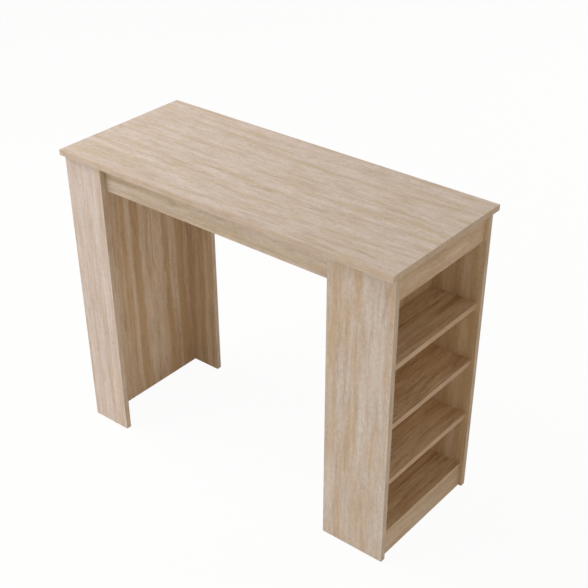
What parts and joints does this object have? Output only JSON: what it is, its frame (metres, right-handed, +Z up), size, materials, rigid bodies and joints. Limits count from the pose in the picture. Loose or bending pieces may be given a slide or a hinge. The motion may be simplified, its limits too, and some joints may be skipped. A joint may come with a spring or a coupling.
{
  "type": "bar table with shelves",
  "caption": "Bar table of oak-look boards: a rectangular top on a panel leg at one end and an open end-facing shelf cabinet at the other.",
  "frame": {"origin": "on the floor, under the middle of the table top", "axes": "+X along the top to the shelf cabinet's open end, +Y to the back, +Z up"},
  "size_m": [1.2, 0.5, 0.975],
  "materials": {
    "oak_board": "matt melamine with a pale oak grain",
    "edge_band": "matt oak-coloured edging",
    "bolt_steel": "bright zinc plate",
    "cam_zinc": "dull zinc casting",
    "cap_plastic": "matt plastic in the board's colour",
    "dowel_beech": "plain beech",
    "glide_plastic": "matt brown plastic"
  },
  "bodies": {
    "root": {"back_apron": "oak_board", "bottom_shelf": "oak_board", "cabinet_back_panel": "oak_board", "cabinet_cam_bolts": "bolt_steel", "cabinet_cam_cover_caps": "cap_plastic", "cabinet_cam_locks": "cam_zinc", "cabinet_divider": "oak_board", "cabinet_dowels": "dowel_beech", "cabinet_edge_bands": "edge_band", "cabinet_floor_glides": "glide_plastic", "cabinet_front_panel": "oak_board", "end_apron": "oak_board", "front_apron": "oak_board", "leg_back_panel": "oak_board", "leg_cam_bolts": "bolt_steel", "leg_cam_cover_caps": "cap_plastic", "leg_cam_locks": "cam_zinc", "leg_dowels": "dowel_beech", "leg_edge_bands": "edge_band", "leg_floor_glides": "glide_plastic", "leg_front_panel": "oak_board", "leg_side_panel": "oak_board", "lower_shelf": "oak_board", "middle_shelf": "oak_board", "plinth": "oak_board", "rail_cam_bolts": "bolt_steel", "rail_cam_locks": "cam_zinc", "rail_dowels": "dowel_beech", "rail_edge_bands": "edge_band", "shelf_cam_bolts": "bolt_steel", "shelf_cam_locks": "cam_zinc", "shelf_dowels": "dowel_beech", "shelf_edge_bands": "edge_band", "table_top": "oak_board", "table_top_edge_bands": "edge_band", "top_cam_bolts": "bolt_steel", "top_cam_cover_caps": "cap_plastic", "top_cam_locks": "cam_zinc", "top_dowels": "dowel_beech", "upper_shelf": "oak_board"}
  },
  "joints": []
}
